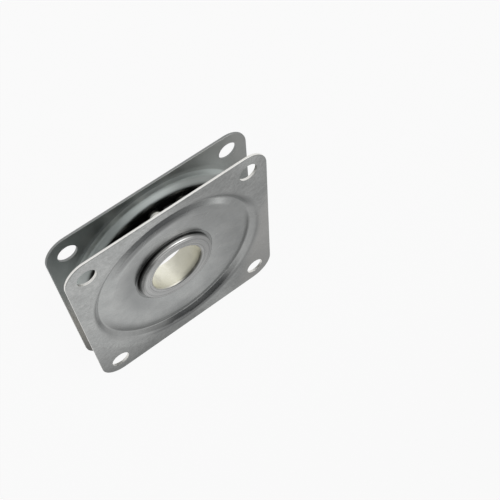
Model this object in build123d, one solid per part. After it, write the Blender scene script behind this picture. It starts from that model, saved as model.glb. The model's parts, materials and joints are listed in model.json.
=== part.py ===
"""Square lazy susan bearing: two pressed plates turn on a caged ring of balls about a hollow rivet.

Millimetres. The bearing lies flat. Z is the swivel axis, and the base plate's outer face is at Z = 0.
Every round section is drawn as radius and height, and turned about Z.
"""
import math
import os

from build123d import *

# Overall size
plate_side = 50.8
overall_height = 7.94

# Pressed sheet of both plates
sheet = 0.6
corner_radius = 5.5
edge_break = 0.12
screw_hole_diameter = 4.6
screw_hole_inset = 5.0

# Dish in each plate: a gentle brim inside the flat rim, then a steep wall down to the foot
rim_width = 0.6
brim_run = 2.3
brim_rise = 0.4
brim_bend = 3.0
dish_wall_run = 1.58
dish_bend = 1.5
foot_bend = 0.5

# Balls, and the shallow groove of the dish floor that they run in
ball_diameter = 4.366
ball_count = 16
first_ball_angle = 93.0
race_clearance = 0.05
race_openness = 1.83
flank_rise = 0.6
flank_run = 2.9

# Hollow rivet: a solid head under the base plate, a barrel, and a thick flange over the top plate
bore_diameter = 13.2
rivet_wall = 0.6
flange_width = 2.55
flange_thickness = 1.15
flange_lip_round = 0.65
flange_edge_round = 0.45
flange_clearance = 0.05
head_inset = 0.2
head_edge_round = 0.2
turning_clearance = 0.08

# Flat seat for the rivet around the centre hole of each plate
seat_margin = 0.75
seat_rise = 1.19
seat_bend = 0.5

# Ball cage
cage_thickness = 2.0
cage_back = 4.2
finger_reach = 1.0
finger_tip_round = 0.3
pocket_clearance = 0.2

# Heights worked out from the sizes above, for the base plate
middle = overall_height / 2
ball_radius = ball_diameter / 2
race_radius = ball_radius * race_openness
floor_height = middle - ball_radius - race_clearance
foot_height = floor_height + flank_rise
seat_height = floor_height + seat_rise

# Radii, from the rim inwards to the ball ring, and from the bore outwards to the seat
brim_radius = plate_side / 2 - rim_width
dish_radius = brim_radius - brim_run
foot_radius = dish_radius - dish_wall_run
ball_ring_radius = foot_radius - flank_run
bore_radius = bore_diameter / 2
barrel_radius = bore_radius + rivet_wall
flange_radius = barrel_radius + flange_width
seat_radius = flange_radius + seat_margin


def unit(start, end):
    length = math.dist(start, end)
    return ((end[0] - start[0]) / length, (end[1] - start[1]) / length)


def turn_between(before, after):
    """Angle in radians from one direction to the next, positive to the left."""
    cross = before[0] * after[1] - before[1] * after[0]
    dot = before[0] * after[0] + before[1] * after[1]
    return math.atan2(cross, dot)


def moved_left(points, distance):
    """The path at a constant distance to the left of a path, with sharp corners."""
    directions = [unit(a, b) for a, b in zip(points, points[1:])]
    before = [directions[0]] + directions
    after = directions + [directions[-1]]
    moved = []
    for (x, y), u, v in zip(points, before, after):
        half = turn_between(u, v) / 2
        reach = distance / math.cos(half)
        heading = math.atan2(u[1], u[0]) + half + math.pi / 2
        moved.append((x + reach * math.cos(heading), y + reach * math.sin(heading)))
    return moved


def rounded_path(points, radii):
    """Lines along a path, with an arc of the given radius at each inner corner."""
    edges = []
    start = points[0]
    for before, corner, after, radius in zip(points, points[1:], points[2:], radii):
        u, v = unit(before, corner), unit(corner, after)
        reach = radius * math.tan(abs(turn_between(u, v)) / 2)
        bend_start = (corner[0] - u[0] * reach, corner[1] - u[1] * reach)
        bend_end = (corner[0] + v[0] * reach, corner[1] + v[1] * reach)
        edges.append(Line(start, bend_start))
        edges.append(TangentArc(bend_start, bend_end, tangent=u))
        start = bend_end
    edges.append(Line(start, points[-1]))
    return edges


def sheet_section(points, bends, thickness):
    """Section of a sheet of constant thickness to the left of a path. Bends are inside radii."""
    near, far = [], []
    for before, corner, after, bend in zip(points, points[1:], points[2:], bends):
        bends_left = turn_between(unit(before, corner), unit(corner, after)) > 0
        near.append(bend + thickness if bends_left else bend)
        far.append(bend if bends_left else bend + thickness)
    other = moved_left(points, thickness)
    ends = [Line(points[0], other[0]), Line(points[-1], other[-1])]
    return make_face(rounded_path(points, near) + rounded_path(other, far) + ends)


def turned(section):
    return revolve(Plane.XZ * section, Axis.Z)


def groove_slope(run, rise):
    """Slope of the line that touches the round bottom of the ball groove, from a point beside and above it."""
    above = race_radius - rise
    return math.tan(math.asin(race_radius / math.hypot(run, above)) - math.atan2(above, run))


def groove_apex():
    """Radius and height at which the groove's two sides would meet below its round bottom."""
    outer = groove_slope(flank_run, flank_rise)
    inner = groove_slope(ball_ring_radius - seat_radius, seat_rise)
    radius = (seat_height - foot_height + foot_radius * outer + seat_radius * inner) / (outer + inner)
    return radius, foot_height - (foot_radius - radius) * outer


def plate(hole_radius):
    """Base plate: flat rim, dish, ball groove with a steep flank and a long slope, and flat rivet seat."""
    path = [
        (plate_side, sheet),
        (brim_radius, sheet),
        (dish_radius, sheet + brim_rise),
        (foot_radius, foot_height),
        groove_apex(),
        (seat_radius, seat_height),
        (hole_radius, seat_height),
    ]
    bends = [brim_bend, dish_bend, foot_bend, race_radius, seat_bend]
    pressing = turned(sheet_section(path, bends, sheet))
    blank = extrude(RectangleRounded(plate_side, plate_side, corner_radius), overall_height)
    trimmed = pressing & blank
    for hole in screw_holes():
        trimmed -= hole
    return break_outline(trimmed)


def screw_holes():
    pitch = plate_side - 2 * screw_hole_inset
    hole = Cylinder(screw_hole_diameter / 2, overall_height, align=(Align.CENTER, Align.CENTER, Align.MIN))
    return GridLocations(pitch, pitch, 2, 2) * hole


def break_outline(solid):
    """Rounds the sheared outline of a plate on both faces of its rim."""
    rims = solid.faces().filter_by(Plane.XY).sort_by(lambda face: face.bounding_box().size.X)[-2:]
    outline = [edge for face in rims for edge in face.outer_wire().edges()]
    return fillet(outline, edge_break)


def hollow_rivet():
    """The head holds the base plate, and the flange keeps the top plate on while it turns."""
    base_seat = seat_height - sheet
    flange_top = overall_height - base_seat + flange_clearance + flange_thickness
    return turned(barrel_section(base_seat, flange_top) + head_section(base_seat))


def head_section(base_seat):
    section = Rectangle(flange_radius - bore_radius, base_seat - head_inset, align=Align.MIN)
    section = fillet(section.vertices().group_by(Axis.Y)[0], head_edge_round)
    return Pos(bore_radius, head_inset) * section


def barrel_section(base_seat, flange_top):
    """Tube wall from the base plate's seat up to the flange, whose upper edges are rounded."""
    wall = Rectangle(rivet_wall, flange_top - base_seat, align=Align.MIN)
    flange = Rectangle(flange_radius - bore_radius, flange_thickness, align=Align.MIN)
    section = Pos(bore_radius, base_seat) * wall + Pos(bore_radius, flange_top - flange_thickness) * flange
    section = fillet(section.vertices().sort_by_distance((bore_radius, flange_top))[0], flange_lip_round)
    return fillet(section.vertices().sort_by_distance((flange_radius, flange_top))[0], flange_edge_round)


def ball_cage():
    """Ring with fingers between the balls. Each pocket is open outwards and closes past the ball's middle."""
    pockets = PolarLocations(ball_ring_radius, ball_count) * Circle(ball_radius + pocket_clearance)
    ring = Circle(ball_ring_radius + finger_reach) - Circle(ball_ring_radius - cage_back) - pockets
    tips = ring.vertices().filter_by(lambda point: point.center().length > ball_ring_radius)
    ring = fillet(tips, finger_tip_round)
    return Pos(0, 0, middle) * Rot(0, 0, first_ball_angle) * extrude(ring, cage_thickness / 2, both=True)


def balls():
    places = PolarLocations(ball_ring_radius, ball_count, start_angle=first_ball_angle)
    return [Pos(place.position.X, place.position.Y, middle) * Sphere(ball_radius) for place in places]


def all_parts():
    parts = {
        "base_plate": plate(barrel_radius),
        "top_plate": mirror(plate(barrel_radius + turning_clearance), Plane.XY.offset(middle)),
        "hollow_rivet": hollow_rivet(),
        "ball_cage": ball_cage(),
    }
    for number, ball in enumerate(balls(), start=1):
        parts[f"ball_{number:02d}"] = ball
    return parts


os.makedirs("parts", exist_ok=True)
for name, solid in all_parts().items():
    export_step(solid, f"parts/{name}.step")
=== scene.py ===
"""Looks of the lazy susan bearing: plated plates, hollow rivet, polished balls and a dark cage on a pale floor.

Lengths are in millimetres unless a comment says otherwise, and tones are linear. A reach is the two ends of a smooth
step, and levels are what it gives there. A side is a direction from the swivel axis, in the plane of the plates.
"""
import json
from math import pi

import bpy
from mathutils import Matrix, Vector


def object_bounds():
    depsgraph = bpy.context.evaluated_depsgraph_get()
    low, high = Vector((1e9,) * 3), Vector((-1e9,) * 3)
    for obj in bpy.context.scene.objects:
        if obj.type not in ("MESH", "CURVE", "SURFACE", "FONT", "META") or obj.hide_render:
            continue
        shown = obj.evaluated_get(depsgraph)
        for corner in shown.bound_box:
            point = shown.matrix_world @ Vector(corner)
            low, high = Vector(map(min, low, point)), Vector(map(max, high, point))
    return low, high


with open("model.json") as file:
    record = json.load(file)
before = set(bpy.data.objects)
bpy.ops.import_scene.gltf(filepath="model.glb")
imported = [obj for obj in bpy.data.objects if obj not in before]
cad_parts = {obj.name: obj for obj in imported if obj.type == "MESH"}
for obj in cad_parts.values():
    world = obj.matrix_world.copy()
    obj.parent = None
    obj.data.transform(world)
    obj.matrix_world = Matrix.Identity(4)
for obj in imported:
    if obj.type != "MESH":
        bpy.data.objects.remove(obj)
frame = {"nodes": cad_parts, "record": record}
cad_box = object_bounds()

MM = 0.001
MIDDLE = 0.5 * (cad_box[0][2] + cad_box[1][2]) / MM
WHITE = (1, 1, 1, 1)

# Camera, from the plates' outlines and screw holes in the photograph, with its clipping distances in metres
CAMERA_PLACE = (-40.43, 171.76, 96.88)
CAMERA_RIGHT = (0.79057, -0.03888, 0.61114)
CAMERA_UP = (0.54370, 0.50375, -0.67128)
CAMERA_BACK = (-0.28176, 0.86297, 0.41939)
LENS = 62.53
SENSOR = 36.0
CLIP = (0.001, 20.0)

# Floor, in metres, and the share of its own shading that it shows
FLOOR_SIDE = 6.0
FLOOR_DROP = 0.00002
FLOOR_TONE = (0.8, 0.8, 0.8, 1)
FLOOR_SHADE = 0.07

# Studio that the metal reflects, by direction: pale, shaded behind the card, and dark overhead
STUDIO_TONE = (0.455, 0.455, 0.45, 1)
SHADE_TONE = (0.21, 0.21, 0.21, 1)
SHADE_REACH = (-0.12, -0.4)
DARK_TONE = (0.10, 0.102, 0.105, 1)

# Dark patch overhead: slope and offset of its middle line and of its half width, and the reaches of its edges
DARK_LINE = (0.257, -0.006)
DARK_HALF = (0.478, 0.392)
DARK_LEAST_HALF = 0.12
DARK_SIDES = (1.3, 0.75)
DARK_FAR = (-0.74, -0.56)
DARK_NEAR = (0.5, 0.25)
DARK_LOW = (0.2, 0.5)

# Key lamp
KEY_PLACE = (202, 306, 256)
KEY_SIZE = (340, 340)
KEY_WATTS = 0.45

# White card beside the bearing, which only the metal sees. It is shaded at its foot and head, and dimmer to one side
CARD_TONE = (1.0, 1.0, 0.99, 1)
CARD_Y = -26.0
CARD_SPAN = (-110.0, 110.0)
CARD_HEIGHT = (6.0, 72.0)
CARD_LEVEL = 0.5
CARD_FOOT = (6.0, 22.0)
CARD_FOOT_SIDES, CARD_FOOT_LEVELS = (0.0, 12.0), (0.10, 0.30)
CARD_HEAD = (52.0, 72.0)
CARD_DIM_SIDES, CARD_DIM_LEVELS = (4.0, 20.0), (1.0, 0.45)

# Bright pane in the card: middle and half width along it and up it, and its level
PANE_ALONG = (42.5, 7.0)
PANE_UP = (48.0, 10.0)
PANE_LEVEL = 0.95

# Noises: cycles per millimetre, detail and roughness
SHEET_MOTTLE = (0.16, 5.0, 0.6)
SHEET_PATCHES = (0.07, 2.0, 0.55)
SHEET_STREAKS = (1.0, 3.0, 0.6)
SHEET_GRAIN = (3.2, 3.0, 0.65)
RIM_SPECKLE = (1.3, 4.0, 0.65)
SCRATCH = (1.0, 2.0, 0.5)
RIVET_RINGS = (1.0, 3.0, 0.6)
RIVET_MOTTLE = (0.35, 4.0, 0.55)
RIVET_GRAIN = (3.0, 3.0, 0.6)
CAGE_GRAIN = (5.0, 3.0, 0.6)
CAGE_PATCHES = (0.4, 3.0, 0.55)
BALL_FILM = (0.7, 4.0, 0.6)
BALL_MARKS = (1.0, 3.0, 0.6)

# Squeeze of the noises that run in one direction
ALONG_SHEET = (0.05, 1.7, 1.7)
ALONG_SCRATCH = (0.09, 7.0, 1.0)
ROUND_RIVET = (0.6, 6.0, 6.0)
ROUND_BALL = (1.2, 9.0, 9.0)

# Sides toward which shade is painted at the hub
NEAR_SIDE = (-0.22, 0.975)
SHADED_HUB_SIDE = (-0.82, 0.57)
BORE_SHADE_SIDE = (0.75, -0.66)

# Edge reaches of a painted patch of shade or highlight that goes in to the axis, or out to the rim
TO_AXIS = (0.0, 1.0)
TO_RIM = (99.0, 98.0)

# Painted shade in the gap beside the flange: how it fades from the near side, for the plates and the rivet alike
CREVICE_REACH, CREVICE_LEVELS = (0.0, 6.0), (0.3, 0.95)

# Zinc of the plates: its darkest and lightest tones, the tone of the cut edge, and the shares of mottle, streaks, grain
TOP_ZINC = ((0.46, 0.472, 0.47, 1), (0.61, 0.62, 0.614, 1))
# Cut edge of the top plate: bare steel, painted lighter as a highlight
TOP_CUT_AND_PAINTED_HIGHLIGHT = (0.88, 0.87, 0.84, 1)
# Zinc and cut edge of the base plate: darker copies, as painted shade
BASE_ZINC_AND_PAINTED_SHADE = ((0.43, 0.452, 0.448, 1), (0.53, 0.55, 0.545, 1))
BASE_CUT_AND_PAINTED_SHADE = (0.27, 0.28, 0.275, 1)
ZINC_SHARES = (0.6, 0.1, 0.3)
ZINC_SPREAD = (0.3, 0.7)

# Flat rim of a plate: dark and light specks, and one side painted lighter, which is painted light
RIM = (21.8, 23.6)
SPECK_DARK_REACH, SPECK_DARK_LEVELS, SPECK_DARK = (0.52, 0.38), (0.0, 0.2), (0.30, 0.29, 0.275, 1)
SPECK_LIGHT_REACH, SPECK_LIGHT_LEVELS = (0.54, 0.68), (0.0, 0.22)
RIM_PAINTED_LIGHT_SIDE, RIM_PAINTED_LIGHT_REACH, RIM_PAINTED_LIGHT_LEVELS, LIGHT_SPECK_AND_PAINTED_LIGHT_TONE = (0.96, -0.28), (19.5, 24.0), (0.0, 0.5), (0.80, 0.785, 0.76, 1)

# Bends that are rubbed: middle radius and half width
RUBBED = ((20.9, 0.7), (22.4, 0.9))
RUBBED_SHARE, RUBBED_TONE = 0.1, (0.68, 0.68, 0.67, 1)

# Painted shade in the dish, where the metal shows dark reflections: reaches of the inner and outer edge, side, reach to
# that side, levels and tone
DISH_PAINTED_SHADE_TONE = (0.12, 0.122, 0.125, 1)
DISH_PAINTED_SHADES = (
    (TO_AXIS, (16.5, 12.0), (-0.995, -0.10), (4.0, 11.0), (0.0, 0.45), (0.25, 0.26, 0.265, 1)),
    ((19.0, 20.2), (23.0, 22.2), (0.22, -0.975), (-3.0, 6.0), (0.0, 0.38), (0.25, 0.25, 0.25, 1)),
    ((17.0, 18.4), (19.8, 18.4), (-0.29, 0.957), (15.0, 18.0), (0.0, 0.6), DISH_PAINTED_SHADE_TONE),
    ((21.2, 22.2), (23.2, 22.2), (0.12, -0.993), (16.0, 20.5), (0.0, 0.55), DISH_PAINTED_SHADE_TONE),
    ((14.8, 16.6), (18.4, 16.6), (0.12, -0.993), (12.0, 16.0), (0.0, 0.15), DISH_PAINTED_SHADE_TONE),
    ((20.3, 21.9), (23.5, 21.9), (0.70, 0.714), (18.0, 21.0), (0.0, 0.45), DISH_PAINTED_SHADE_TONE),
)

# Inner faces of the plates: painted shade on the flat, with painted light on two sides, and painted light on the dish
INSIDE_REACH, INSIDE_SHARE = (0.2, -0.2), 0.8
INNER_FLAT_PAINTED_SHADE = (0.405, 0.43, 0.425, 1)
INNER_FLAT_PAINTED_LIGHTS = (
    ((0.62, 0.785), (17.0, 28.0), (0.60, 0.605, 0.59, 1)),
    ((-0.95, -0.31), (20.0, 26.0), (0.60, 0.585, 0.55, 1)),
)
INNER_DISH_PAINTED_LIGHT = ((0.66, 0.69, 0.68, 1), (0.91, 0.95, 0.935, 1))
INNER_DISH_LIGHT_REACH = (22.2, 23.1)
FLAT = (23.8, 24.05)
TOOL_LINE, TOOL_TONE = (23.95, 0.16), (0.72, 0.74, 0.73, 1)
# Inner face darker toward the ball track
RACE_DARK_REACH, RACE_DARK_LEVELS, RACE_DARK_TONE = (21.7, 20.7), (0.0, 0.9), (0.04, 0.04, 0.038, 1)

# Scratches of the plates: angle in radians and threshold of each set
SCRATCHES = ((0.5, 0.70), (-0.9, 0.71))
SCRATCH_EDGE = 0.05
SCRATCH_SHARE, SCRATCH_TONE = 0.35, (0.70, 0.70, 0.69, 1)

# Painted shade on the plates round the flange: in the groove, in the gap and along a line on the seat
GROOVE_INNER, GROOVE_OUTER = (9.3, 9.7), (10.55, 9.95)
GROOVE_REACH, GROOVE_LEVELS = (4.0, 9.5), (0.2, 1.0)
GAP = (9.8, 0.25)
SEAT_LINE, SEAT_SHARE = (10.45, 0.14), 0.5
HUB_SHADE_TONE = (0.035, 0.034, 0.032, 1)

# Cut edges, roughness and relief of the plates
CUT_REACH = (0.6, 0.25)
SHEET_ROUGH_REACH, SHEET_ROUGH_LEVELS = (0.35, 0.7), (0.17, 0.24)
SCRATCH_ROUGH, INSIDE_ROUGH, HUB_SHADE_ROUGH = 0.08, 0.22, 0.2
SHEET_RELIEF_SHARES = (0.6, 0.15, -0.3)
SHEET_RELIEF = 0.003

# Rivet: its darkest and lightest tones, and the fine turned lines on its flange
RIVET_TONES, RIVET_SPREAD = ((0.48, 0.485, 0.485, 1), (0.64, 0.64, 0.635, 1)), (0.3, 0.7)
FLANGE_LINES = ((7.55, 0.14), (8.85, 0.14))
LINE_SHARE, LINE_TONE = 0.55, (0.22, 0.22, 0.22, 1)

# Painted shade on the flange, as the painted patches above, how the grain breaks it up, and a painted highlight on part
# of the edge
FLANGE_PAINTED_SHADES = (
    ((7.3, 8.2), (9.1, 8.2), NEAR_SIDE, (4.5, 8.0), (0.0, 0.4)),
    ((8.8, 9.25), TO_RIM, SHADED_HUB_SIDE, (6.3, 8.6), (0.0, 0.85)),
)
FLANGE_SHADE_REACH, FLANGE_SHADE_LEVELS, FLANGE_SHADE_TONE = (0.35, 0.65), (0.7, 1.0), (0.14, 0.14, 0.138, 1)
FLANGE_PAINTED_HIGHLIGHT = ((8.95, 9.2), TO_RIM, (0.0, 1.0), (7.4, 9.0), (0.0, 0.95))
FLANGE_PAINTED_HIGHLIGHT_TONE = (0.97, 0.965, 0.95, 1)

# Warm coating in the bore, with painted shade on one side of it and on the lip, and painted shade near its top
BORE = (6.95, 6.65)
WARM_TONES, WARM_SPREAD = ((0.91, 0.895, 0.785, 1), (0.975, 0.96, 0.865, 1)), (0.35, 0.7)
BORE_SHADE_REACH, BORE_SHADE_SHARE, BORE_SHADE_TONE = (3.6, 6.6), 0.65, (0.36, 0.35, 0.29, 1)
BORE_TOP, BORE_TOP_REACH, BORE_TOP_LEVELS = (4.8, 6.4), (4.2, 6.6), (0.0, 0.75)
BORE_TOP_TONE = (0.16, 0.157, 0.14, 1)
LIP, LIP_FACING = (7.3, 6.7), (0.02, 0.2)
LIP_SHARE, LIP_TONE = 0.8, (0.12, 0.118, 0.105, 1)

# Side of the flange: painted shade, deeper on one side and in the gap below it
SIDE_FACING, SIDE = (0.4, 0.15), (9.3, 9.6)
SIDE_SHADE_REACH, SIDE_SHADE_LEVELS, SIDE_SHADE_TONE = (6.5, 9.7), (0.25, 0.45), (0.03, 0.03, 0.03, 1)
SIDE_FOOT = (6.15, 5.95)

# Tarnish, roughness and relief of the rivet
TARNISH_REACH, TARNISH_LEVELS, TARNISH = (0.5, 0.8), (0.0, 0.3), (0.45, 0.44, 0.41, 1)
RIVET_ROUGH_REACH, RIVET_ROUGH_LEVELS = (0.3, 0.7), (0.24, 0.32)
BORE_ROUGH, SIDE_ROUGH = 0.2, 0.2
EDGE, EDGE_ROUGH = (8.9, 9.3), 0.03
RIVET_RELIEF_SHARES = (0.25, 0.35)
RIVET_RELIEF = 0.002

# Cage
CAGE_TONES, CAGE_SPREAD = ((0.009, 0.009, 0.0095, 1), (0.022, 0.021, 0.02, 1)), (0.45, 0.75)
CAGE_ROUGH_REACH, CAGE_ROUGH_LEVELS = (0.3, 0.75), (0.38, 0.6)
CAGE_RELIEF = 0.012

# Balls
BALL_TONES, BALL_SPREAD = ((0.78, 0.76, 0.72, 1), (0.52, 0.49, 0.44, 1)), (0.4, 0.65)
BALL_ROUGH_REACH, BALL_ROUGH_LEVELS = (0.35, 0.7), (0.14, 0.28)
MARK_ROUGH_REACH, MARK_ROUGH_LEVELS = (0.6, 0.75), (0.0, 0.06)
BALL_RELIEF = 0.0015


class Nodes:
    """Builds one node tree. Inputs are numbers, tones or the sockets of other nodes."""

    def __init__(self, tree):
        tree.nodes.clear()
        self.tree = tree

    def add(self, kind, inputs, **properties):
        """Adds a node, sets its properties, sets or links its inputs, and gives its outputs."""
        made = self.tree.nodes.new(kind)
        for name, value in properties.items():
            setattr(made, name, value)
        for name, value in inputs.items():
            if isinstance(value, bpy.types.NodeSocket):
                self.tree.links.new(value, made.inputs[name])
            else:
                made.inputs[name].default_value = value
        return made.outputs

    def math(self, operation, *values):
        return self.add("ShaderNodeMath", dict(enumerate(values)), operation=operation)[0]

    def chain(self, operation, values):
        result, *others = values
        for value in others:
            result = self.math(operation, result, value)
        return result

    def product(self, *values):
        return self.chain("MULTIPLY", values)

    def total(self, *values):
        return self.chain("ADD", values)

    def most(self, *values):
        return self.chain("MAXIMUM", values)

    def weighted(self, values, shares):
        return self.total(*[self.product(value, share) for value, share in zip(values, shares)])

    def ramp(self, value, reach, levels=(0.0, 1.0)):
        """Smooth step between the two ends of a reach."""
        inputs = {"Value": value, "From Min": reach[0], "From Max": reach[1], "To Min": levels[0], "To Max": levels[1]}
        return self.add("ShaderNodeMapRange", inputs, interpolation_type="SMOOTHSTEP")["Result"]

    def band(self, value, middle, half):
        """1 at the middle of a band and 0 beyond its half width."""
        away = self.math("ABSOLUTE", self.math("SUBTRACT", value, middle))
        return self.ramp(away, (half, 0.0))

    def blend(self, share, first, second):
        return self.add("ShaderNodeMix", {"Factor": share, "A": first, "B": second}, data_type="RGBA")["Result"]

    def in_millimetres(self, place):
        return self.add("ShaderNodeVectorMath", {0: place, "Scale": 1 / MM}, operation="SCALE")["Vector"]

    def split(self, place):
        return self.add("ShaderNodeSeparateXYZ", {0: place})

    def noise(self, place, kind, squeeze=None):
        """Noise around 0.5 of one of the kinds above."""
        if squeeze:
            place = self.add("ShaderNodeVectorMath", {0: place, 1: squeeze}, operation="MULTIPLY")["Vector"]
        scale, detail, roughness = kind
        inputs = {"Vector": place, "Scale": scale, "Detail": detail, "Roughness": roughness}
        return self.add("ShaderNodeTexNoise", inputs)[0]


class Surface(Nodes):
    """Node tree of a new material, which knows its place on the object."""

    def __init__(self, name):
        self.material = bpy.data.materials.new(name)
        self.material.use_nodes = True
        super().__init__(self.material.node_tree)
        self.coordinates = self.add("ShaderNodeTexCoord", {})
        self.place = self.in_millimetres(self.coordinates["Object"])

    def finish(self, colour, rough, height, relief, metallic):
        """Ends the tree in a shader. Relief is the depth of the bump."""
        bump = self.add("ShaderNodeBump", {"Height": height, "Distance": relief * MM, "Strength": 1.0})["Normal"]
        inputs = {"Base Color": colour, "Metallic": metallic, "Roughness": rough, "Normal": bump}
        shader = self.add("ShaderNodeBsdfPrincipled", inputs)[0]
        self.add("ShaderNodeOutputMaterial", {"Surface": shader})
        return self.material


class TurnedSurface(Surface):
    """Surface of a piece about the swivel axis, with its radius, height and the height of its normal."""

    def __init__(self, name):
        super().__init__(name)
        self.x, self.y, self.z = self.split(self.place)
        flat = self.add("ShaderNodeCombineXYZ", {0: self.x, 1: self.y})[0]
        self.radius = self.add("ShaderNodeVectorMath", {0: flat}, operation="LENGTH")["Value"]
        self.facing = self.split(self.coordinates["Normal"])[2]
        self.flatness = self.math("ABSOLUTE", self.facing)

    def around(self):
        """Place unrolled about the axis: angle, radius and height."""
        angle = self.math("ARCTAN2", self.y, self.x)
        return self.add("ShaderNodeCombineXYZ", {0: angle, 1: self.radius, 2: self.z})[0]

    def toward(self, side, reach, levels=(0.0, 1.0)):
        """Smooth step over the distance to one side of the axis."""
        distance = self.math("MULTIPLY_ADD", self.x, side[0], self.math("MULTIPLY", self.y, side[1]))
        return self.ramp(distance, reach, levels)

    def ring(self, inner, outer):
        return self.product(self.ramp(self.radius, inner), self.ramp(self.radius, outer))

    def line(self, middle, half):
        return self.band(self.radius, middle, half)

    def painted_patch(self, inner, outer, side, reach, levels):
        return self.product(self.ring(inner, outer), self.toward(side, reach, levels))


def scratches(nodes):
    """Thin straight scratches in a few directions."""
    sets = []
    for angle, threshold in SCRATCHES:
        turned = nodes.add("ShaderNodeVectorRotate", {"Vector": nodes.place, "Angle": angle}, rotation_type="Z_AXIS")[0]
        lines = nodes.noise(turned, SCRATCH, ALONG_SCRATCH)
        sets.append(nodes.ramp(lines, (threshold, threshold + SCRATCH_EDGE)))
    return nodes.most(*sets)


def hub_painted_shade(nodes):
    """Painted shade on a plate round the flange."""
    groove = nodes.painted_patch(GROOVE_INNER, GROOVE_OUTER, SHADED_HUB_SIDE, GROOVE_REACH, GROOVE_LEVELS)
    gap = nodes.product(nodes.line(*GAP), nodes.toward(NEAR_SIDE, CREVICE_REACH, CREVICE_LEVELS))
    return nodes.most(groove, gap, nodes.product(nodes.line(*SEAT_LINE), SEAT_SHARE))


def outer_colour(nodes, zinc, noises):
    """Mottled zinc, speckled on the flat rim and painted lighter on one side of it as painted light, rubbed on the
    bends, and with painted shade in the dish.
    """
    colour = nodes.blend(nodes.ramp(nodes.weighted(noises, ZINC_SHARES), ZINC_SPREAD), *zinc)
    rim = nodes.ramp(nodes.radius, RIM)
    speckle = nodes.noise(nodes.place, RIM_SPECKLE)
    dark = nodes.ramp(speckle, SPECK_DARK_REACH, SPECK_DARK_LEVELS)
    light = nodes.ramp(speckle, SPECK_LIGHT_REACH, SPECK_LIGHT_LEVELS)
    # Light specks, and one side of the rim painted lighter as painted light
    light_specks_and_painted_light = nodes.most(light, nodes.toward(RIM_PAINTED_LIGHT_SIDE, RIM_PAINTED_LIGHT_REACH, RIM_PAINTED_LIGHT_LEVELS))
    colour = nodes.blend(nodes.product(rim, dark), colour, SPECK_DARK)
    colour = nodes.blend(nodes.product(rim, light_specks_and_painted_light), colour, LIGHT_SPECK_AND_PAINTED_LIGHT_TONE)
    rubbed = nodes.most(*[nodes.line(*bend) for bend in RUBBED])
    colour = nodes.blend(nodes.product(rubbed, RUBBED_SHARE), colour, RUBBED_TONE)
    # Painted shade in the dish, where the metal shows dark reflections
    for *painted_patch, tone in DISH_PAINTED_SHADES:
        colour = nodes.blend(nodes.painted_patch(*painted_patch), colour, tone)
    return colour


def with_inner_face(nodes, colour, inside):
    """Adds to the inner face: painted shade on the flat with painted light on two sides, painted light on the dish, a
    tool line, and a darker race.
    """
    # Painted shade on the inner flat, with painted light on two sides, and painted light on the dish
    film_and_painted_light = INNER_FLAT_PAINTED_SHADE
    for side, reach, tone in INNER_FLAT_PAINTED_LIGHTS:
        film_and_painted_light = nodes.blend(nodes.toward(side, reach), film_and_painted_light, tone)
    dish = nodes.blend(nodes.ramp(nodes.radius, INNER_DISH_LIGHT_REACH), *INNER_DISH_PAINTED_LIGHT)
    face = nodes.blend(nodes.ramp(nodes.radius, FLAT), dish, film_and_painted_light)
    colour = nodes.blend(nodes.product(inside, INSIDE_SHARE), colour, face)
    colour = nodes.blend(nodes.product(inside, nodes.line(*TOOL_LINE)), colour, TOOL_TONE)
    # Inner face darker toward the ball track
    race_dark = nodes.ramp(nodes.radius, RACE_DARK_REACH, RACE_DARK_LEVELS)
    return nodes.blend(nodes.product(inside, race_dark), colour, RACE_DARK_TONE)


def plate_material(name, zinc, edge):
    """Zinc on rolled sheet: mottled, faintly streaked and scratched, with cut edges whose tone carries painted light,
    and painted shade round the rivet.
    """
    nodes = TurnedSurface(name)
    mottle = nodes.noise(nodes.place, SHEET_MOTTLE)
    patches = nodes.noise(nodes.place, SHEET_PATCHES)
    streaks = nodes.noise(nodes.place, SHEET_STREAKS, ALONG_SHEET)
    grain = nodes.noise(nodes.place, SHEET_GRAIN)
    scratched = scratches(nodes)
    # Painted shade in the groove, gap and seat line round the flange
    hub_shade = hub_painted_shade(nodes)
    cut = nodes.ramp(nodes.flatness, CUT_REACH)
    inside = nodes.ramp(nodes.product(nodes.math("SUBTRACT", nodes.z, MIDDLE), nodes.facing), INSIDE_REACH)

    colour = outer_colour(nodes, zinc, (mottle, streaks, grain))
    colour = with_inner_face(nodes, colour, inside)
    colour = nodes.blend(nodes.product(scratched, SCRATCH_SHARE), colour, SCRATCH_TONE)
    colour = nodes.blend(hub_shade, colour, HUB_SHADE_TONE)
    # Cut edges: painted highlight on the top plate, painted shade on the base plate
    colour = nodes.blend(cut, colour, edge)

    rough = nodes.ramp(patches, SHEET_ROUGH_REACH, SHEET_ROUGH_LEVELS)
    added = nodes.weighted((scratched, inside, nodes.most(cut, hub_shade)), (SCRATCH_ROUGH, INSIDE_ROUGH, HUB_SHADE_ROUGH))
    height = nodes.weighted((grain, streaks, scratched), SHEET_RELIEF_SHARES)
    return nodes.finish(colour, nodes.total(rough, added), height, SHEET_RELIEF, 1.0)


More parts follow.
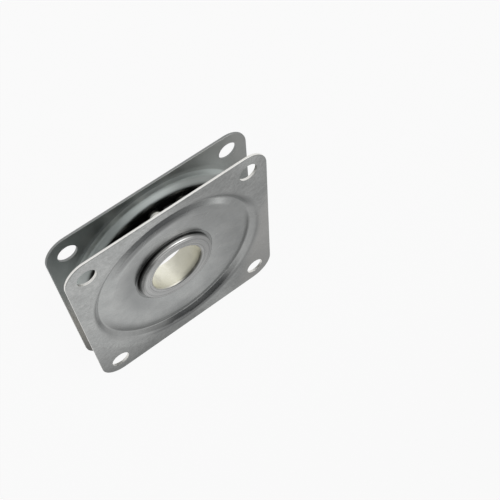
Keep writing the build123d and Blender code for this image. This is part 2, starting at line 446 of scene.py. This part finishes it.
def flange_colour(nodes, rings, grain):
    """Turned face with fine lines, painted shade on two sides and a painted highlight on part of its edge."""
    colour = nodes.blend(nodes.ramp(rings, RIVET_SPREAD), *RIVET_TONES)
    lines = nodes.most(*[nodes.line(*line) for line in FLANGE_LINES])
    colour = nodes.blend(nodes.product(lines, LINE_SHARE), colour, LINE_TONE)
    # Painted shade on two sides of the flange
    flange_shade = nodes.most(*[nodes.painted_patch(*flange_shade) for flange_shade in FLANGE_PAINTED_SHADES])
    flange_shade = nodes.product(flange_shade, nodes.ramp(grain, FLANGE_SHADE_REACH, FLANGE_SHADE_LEVELS))
    colour = nodes.blend(flange_shade, colour, FLANGE_SHADE_TONE)
    # Painted highlight on part of the flange's edge
    return nodes.blend(nodes.painted_patch(*FLANGE_PAINTED_HIGHLIGHT), colour, FLANGE_PAINTED_HIGHLIGHT_TONE)


def bore_colour(nodes, grain, bore_shade):
    """Warm speckled coating, with painted shade on one side and near its top."""
    colour = nodes.blend(nodes.ramp(grain, WARM_SPREAD), *WARM_TONES)
    # Painted shade on one side of the bore
    colour = nodes.blend(nodes.product(bore_shade, BORE_SHADE_SHARE), colour, BORE_SHADE_TONE)
    top = nodes.product(nodes.ramp(nodes.z, BORE_TOP), nodes.toward(BORE_SHADE_SIDE, BORE_TOP_REACH, BORE_TOP_LEVELS))
    return nodes.blend(top, colour, BORE_TOP_TONE)


def rivet_material():
    """Turned and set rivet: faint lines round its flange, painted shade on the flange's side and lip, and a warm
    coating in the bore.
    """
    nodes = TurnedSurface("plated_rivet")
    rings = nodes.noise(nodes.around(), RIVET_RINGS, ROUND_RIVET)
    mottle = nodes.noise(nodes.place, RIVET_MOTTLE)
    grain = nodes.noise(nodes.place, RIVET_GRAIN)
    # Painted shade on one side of the bore and its lip
    bore_shade = nodes.toward(BORE_SHADE_SIDE, BORE_SHADE_REACH)
    bore = nodes.ramp(nodes.radius, BORE)
    lip = nodes.product(nodes.ramp(nodes.radius, LIP), nodes.ramp(nodes.facing, LIP_FACING))
    side = nodes.product(nodes.ramp(nodes.flatness, SIDE_FACING), nodes.ramp(nodes.radius, SIDE))
    gap = nodes.product(nodes.ramp(nodes.z, SIDE_FOOT), nodes.toward(NEAR_SIDE, CREVICE_REACH, CREVICE_LEVELS))
    # Painted shade on the flange's side, deeper on one side and in the gap below it
    side_shade = nodes.most(nodes.toward(SHADED_HUB_SIDE, SIDE_SHADE_REACH, SIDE_SHADE_LEVELS), gap)

    colour = nodes.blend(bore, flange_colour(nodes, rings, grain), bore_colour(nodes, grain, bore_shade))
    colour = nodes.blend(nodes.product(lip, bore_shade, LIP_SHARE), colour, LIP_TONE)
    colour = nodes.blend(nodes.product(side, side_shade), colour, SIDE_SHADE_TONE)
    colour = nodes.blend(nodes.ramp(mottle, TARNISH_REACH, TARNISH_LEVELS), colour, TARNISH)

    rough = nodes.ramp(mottle, RIVET_ROUGH_REACH, RIVET_ROUGH_LEVELS)
    added = nodes.weighted((bore, side, nodes.ramp(nodes.radius, EDGE)), (BORE_ROUGH, SIDE_ROUGH, EDGE_ROUGH))
    height = nodes.weighted((rings, grain), RIVET_RELIEF_SHARES)
    return nodes.finish(colour, nodes.total(rough, added), height, RIVET_RELIEF, 1.0)


def cage_material():
    """Black moulded nylon: fine grain, rubbed a little greyer in patches."""
    nodes = Surface("black_cage")
    grain = nodes.noise(nodes.place, CAGE_GRAIN)
    patches = nodes.noise(nodes.place, CAGE_PATCHES)
    colour = nodes.blend(nodes.ramp(patches, CAGE_SPREAD), *CAGE_TONES)
    rough = nodes.ramp(patches, CAGE_ROUGH_REACH, CAGE_ROUGH_LEVELS)
    return nodes.finish(colour, rough, grain, CAGE_RELIEF, 0.0)


def ball_material():
    """Polished bearing steel with run marks and a dark film of grease."""
    nodes = Surface("polished_ball")
    film_and_painted_light = nodes.noise(nodes.place, BALL_FILM)
    marks = nodes.noise(nodes.place, BALL_MARKS, ROUND_BALL)
    colour = nodes.blend(nodes.ramp(film_and_painted_light, BALL_SPREAD), *BALL_TONES)
    rough = nodes.ramp(film_and_painted_light, BALL_ROUGH_REACH, BALL_ROUGH_LEVELS)
    added = nodes.ramp(marks, MARK_ROUGH_REACH, MARK_ROUGH_LEVELS)
    return nodes.finish(colour, nodes.total(rough, added), marks, BALL_RELIEF, 1.0)


def dress():
    """Gives every solid its material. The base plate gets a darker copy of the plate material, as painted shade."""
    by_slot = {
        "plate_steel": plate_material("plated_sheet", TOP_ZINC, TOP_CUT_AND_PAINTED_HIGHLIGHT),
        "rivet_steel": rivet_material(),
        "cage_plastic": cage_material(),
        "ball_steel": ball_material(),
    }
    # The base plate's darker material is painted shade
    by_node = {"base_plate": plate_material("plated_sheet_with_painted_shade", BASE_ZINC_AND_PAINTED_SHADE, BASE_CUT_AND_PAINTED_SHADE)}
    for part in frame["record"]["subparts"]:
        mesh = frame["nodes"][part["node"]].data
        mesh.materials.clear()
        mesh.materials.append(by_node.get(part["node"], by_slot[part["material_slot"]]))


def make_floor():
    """Floor that looks white to the camera and in the metal, with a little of its own shading to hold the shadow."""
    bpy.ops.mesh.primitive_plane_add(size=FLOOR_SIDE, location=(0, 0, -FLOOR_DROP))
    floor = bpy.context.object
    floor.name = "floor"
    material = bpy.data.materials.new("pale_floor")
    material.use_nodes = True
    nodes = Nodes(material.node_tree)
    path = nodes.add("ShaderNodeLightPath", {})
    seen = nodes.most(path["Is Camera Ray"], path["Is Glossy Ray"], path["Is Transmission Ray"])
    matt = nodes.add("ShaderNodeBsdfDiffuse", {"Color": FLOOR_TONE})[0]
    white = nodes.add("ShaderNodeEmission", {"Color": WHITE, "Strength": 1.0})[0]
    mixed = nodes.add("ShaderNodeMixShader", {0: nodes.product(seen, 1 - FLOOR_SHADE), 1: matt, 2: white})[0]
    nodes.add("ShaderNodeOutputMaterial", {"Surface": mixed})
    floor.data.materials.append(material)


def dark_overhead(nodes, x, y, z):
    """1 in the dark patch overhead, which widens toward the camera's side."""
    away = nodes.math("ABSOLUTE", nodes.total(x, nodes.math("MULTIPLY_ADD", y, *DARK_LINE)))
    half = nodes.most(nodes.math("MULTIPLY_ADD", y, *DARK_HALF), DARK_LEAST_HALF)
    across = nodes.ramp(nodes.math("DIVIDE", away, half), DARK_SIDES)
    along = nodes.product(nodes.ramp(y, DARK_FAR), nodes.ramp(y, DARK_NEAR))
    return nodes.product(across, along, nodes.ramp(z, DARK_LOW))


def make_world():
    """White to the camera, and the grey studio to all else."""
    world = bpy.data.worlds.new("studio")
    bpy.context.scene.world = world
    world.use_nodes = True
    nodes = Nodes(world.node_tree)
    x, y, z = nodes.split(nodes.add("ShaderNodeTexCoord", {})["Generated"])
    tone = nodes.blend(nodes.ramp(y, SHADE_REACH), STUDIO_TONE, SHADE_TONE)
    tone = nodes.blend(dark_overhead(nodes, x, y, z), tone, DARK_TONE)
    tone = nodes.blend(nodes.add("ShaderNodeLightPath", {})["Is Camera Ray"], tone, WHITE)
    background = nodes.add("ShaderNodeBackground", {"Color": tone, "Strength": 1.0})[0]
    nodes.add("ShaderNodeOutputWorld", {"Surface": background})


def add_lamp(name, place, aim, size, power):
    """Soft rectangular lamp."""
    data = bpy.data.lights.new(name, "AREA")
    data.shape = "RECTANGLE"
    data.size, data.size_y = size[0] * MM, size[1] * MM
    data.energy = power
    lamp = bpy.data.objects.new(name, data)
    bpy.context.scene.collection.objects.link(lamp)
    lamp.location = Vector(place) * MM
    lamp.rotation_mode = "QUATERNION"
    lamp.rotation_quaternion = (Vector(aim) - Vector(place)).normalized().to_track_quat("-Z", "Y")
    return lamp


def make_card():
    """Lamp for the card. Its power is such that the strength in its nodes is its brightness."""
    middle = (sum(CARD_SPAN) / 2, CARD_Y, sum(CARD_HEIGHT) / 2)
    size = (CARD_SPAN[1] - CARD_SPAN[0], CARD_HEIGHT[1] - CARD_HEIGHT[0])
    card = add_lamp("card", middle, (middle[0], 0, middle[2]), size, pi * size[0] * size[1] * MM * MM)
    card.visible_diffuse = False
    card.data.use_nodes = True
    nodes = Nodes(card.data.node_tree)
    place = nodes.split(nodes.in_millimetres(nodes.add("ShaderNodeNewGeometry", {})["Position"]))
    along, up = place[0], place[2]
    foot = nodes.ramp(up, CARD_FOOT, (nodes.ramp(along, CARD_FOOT_SIDES, CARD_FOOT_LEVELS), CARD_LEVEL))
    head = nodes.ramp(up, CARD_HEAD, (CARD_LEVEL, 0.0))
    level = nodes.product(nodes.math("MINIMUM", foot, head), nodes.ramp(along, CARD_DIM_SIDES, CARD_DIM_LEVELS))
    pane = nodes.product(nodes.band(along, *PANE_ALONG), nodes.band(up, *PANE_UP))
    strength = nodes.math("MULTIPLY_ADD", pane, PANE_LEVEL, level)
    light = nodes.add("ShaderNodeEmission", {"Color": CARD_TONE, "Strength": strength})[0]
    nodes.add("ShaderNodeOutputLight", {"Surface": light})


def make_camera():
    data = bpy.data.cameras.new("photo_view")
    data.lens = LENS
    data.sensor_width = SENSOR
    data.clip_start, data.clip_end = CLIP
    camera = bpy.data.objects.new("photo_view", data)
    bpy.context.scene.collection.objects.link(camera)
    turn = Matrix((CAMERA_RIGHT, CAMERA_UP, CAMERA_BACK)).transposed()
    camera.matrix_world = Matrix.Translation(Vector(CAMERA_PLACE) * MM) @ turn.to_4x4()
    bpy.context.scene.camera = camera


dress()
make_floor()
make_world()
add_lamp("key", KEY_PLACE, (0, 0, 0), KEY_SIZE, KEY_WATTS)
make_card()
make_camera()
bpy.context.scene.view_settings.view_transform = "Standard"
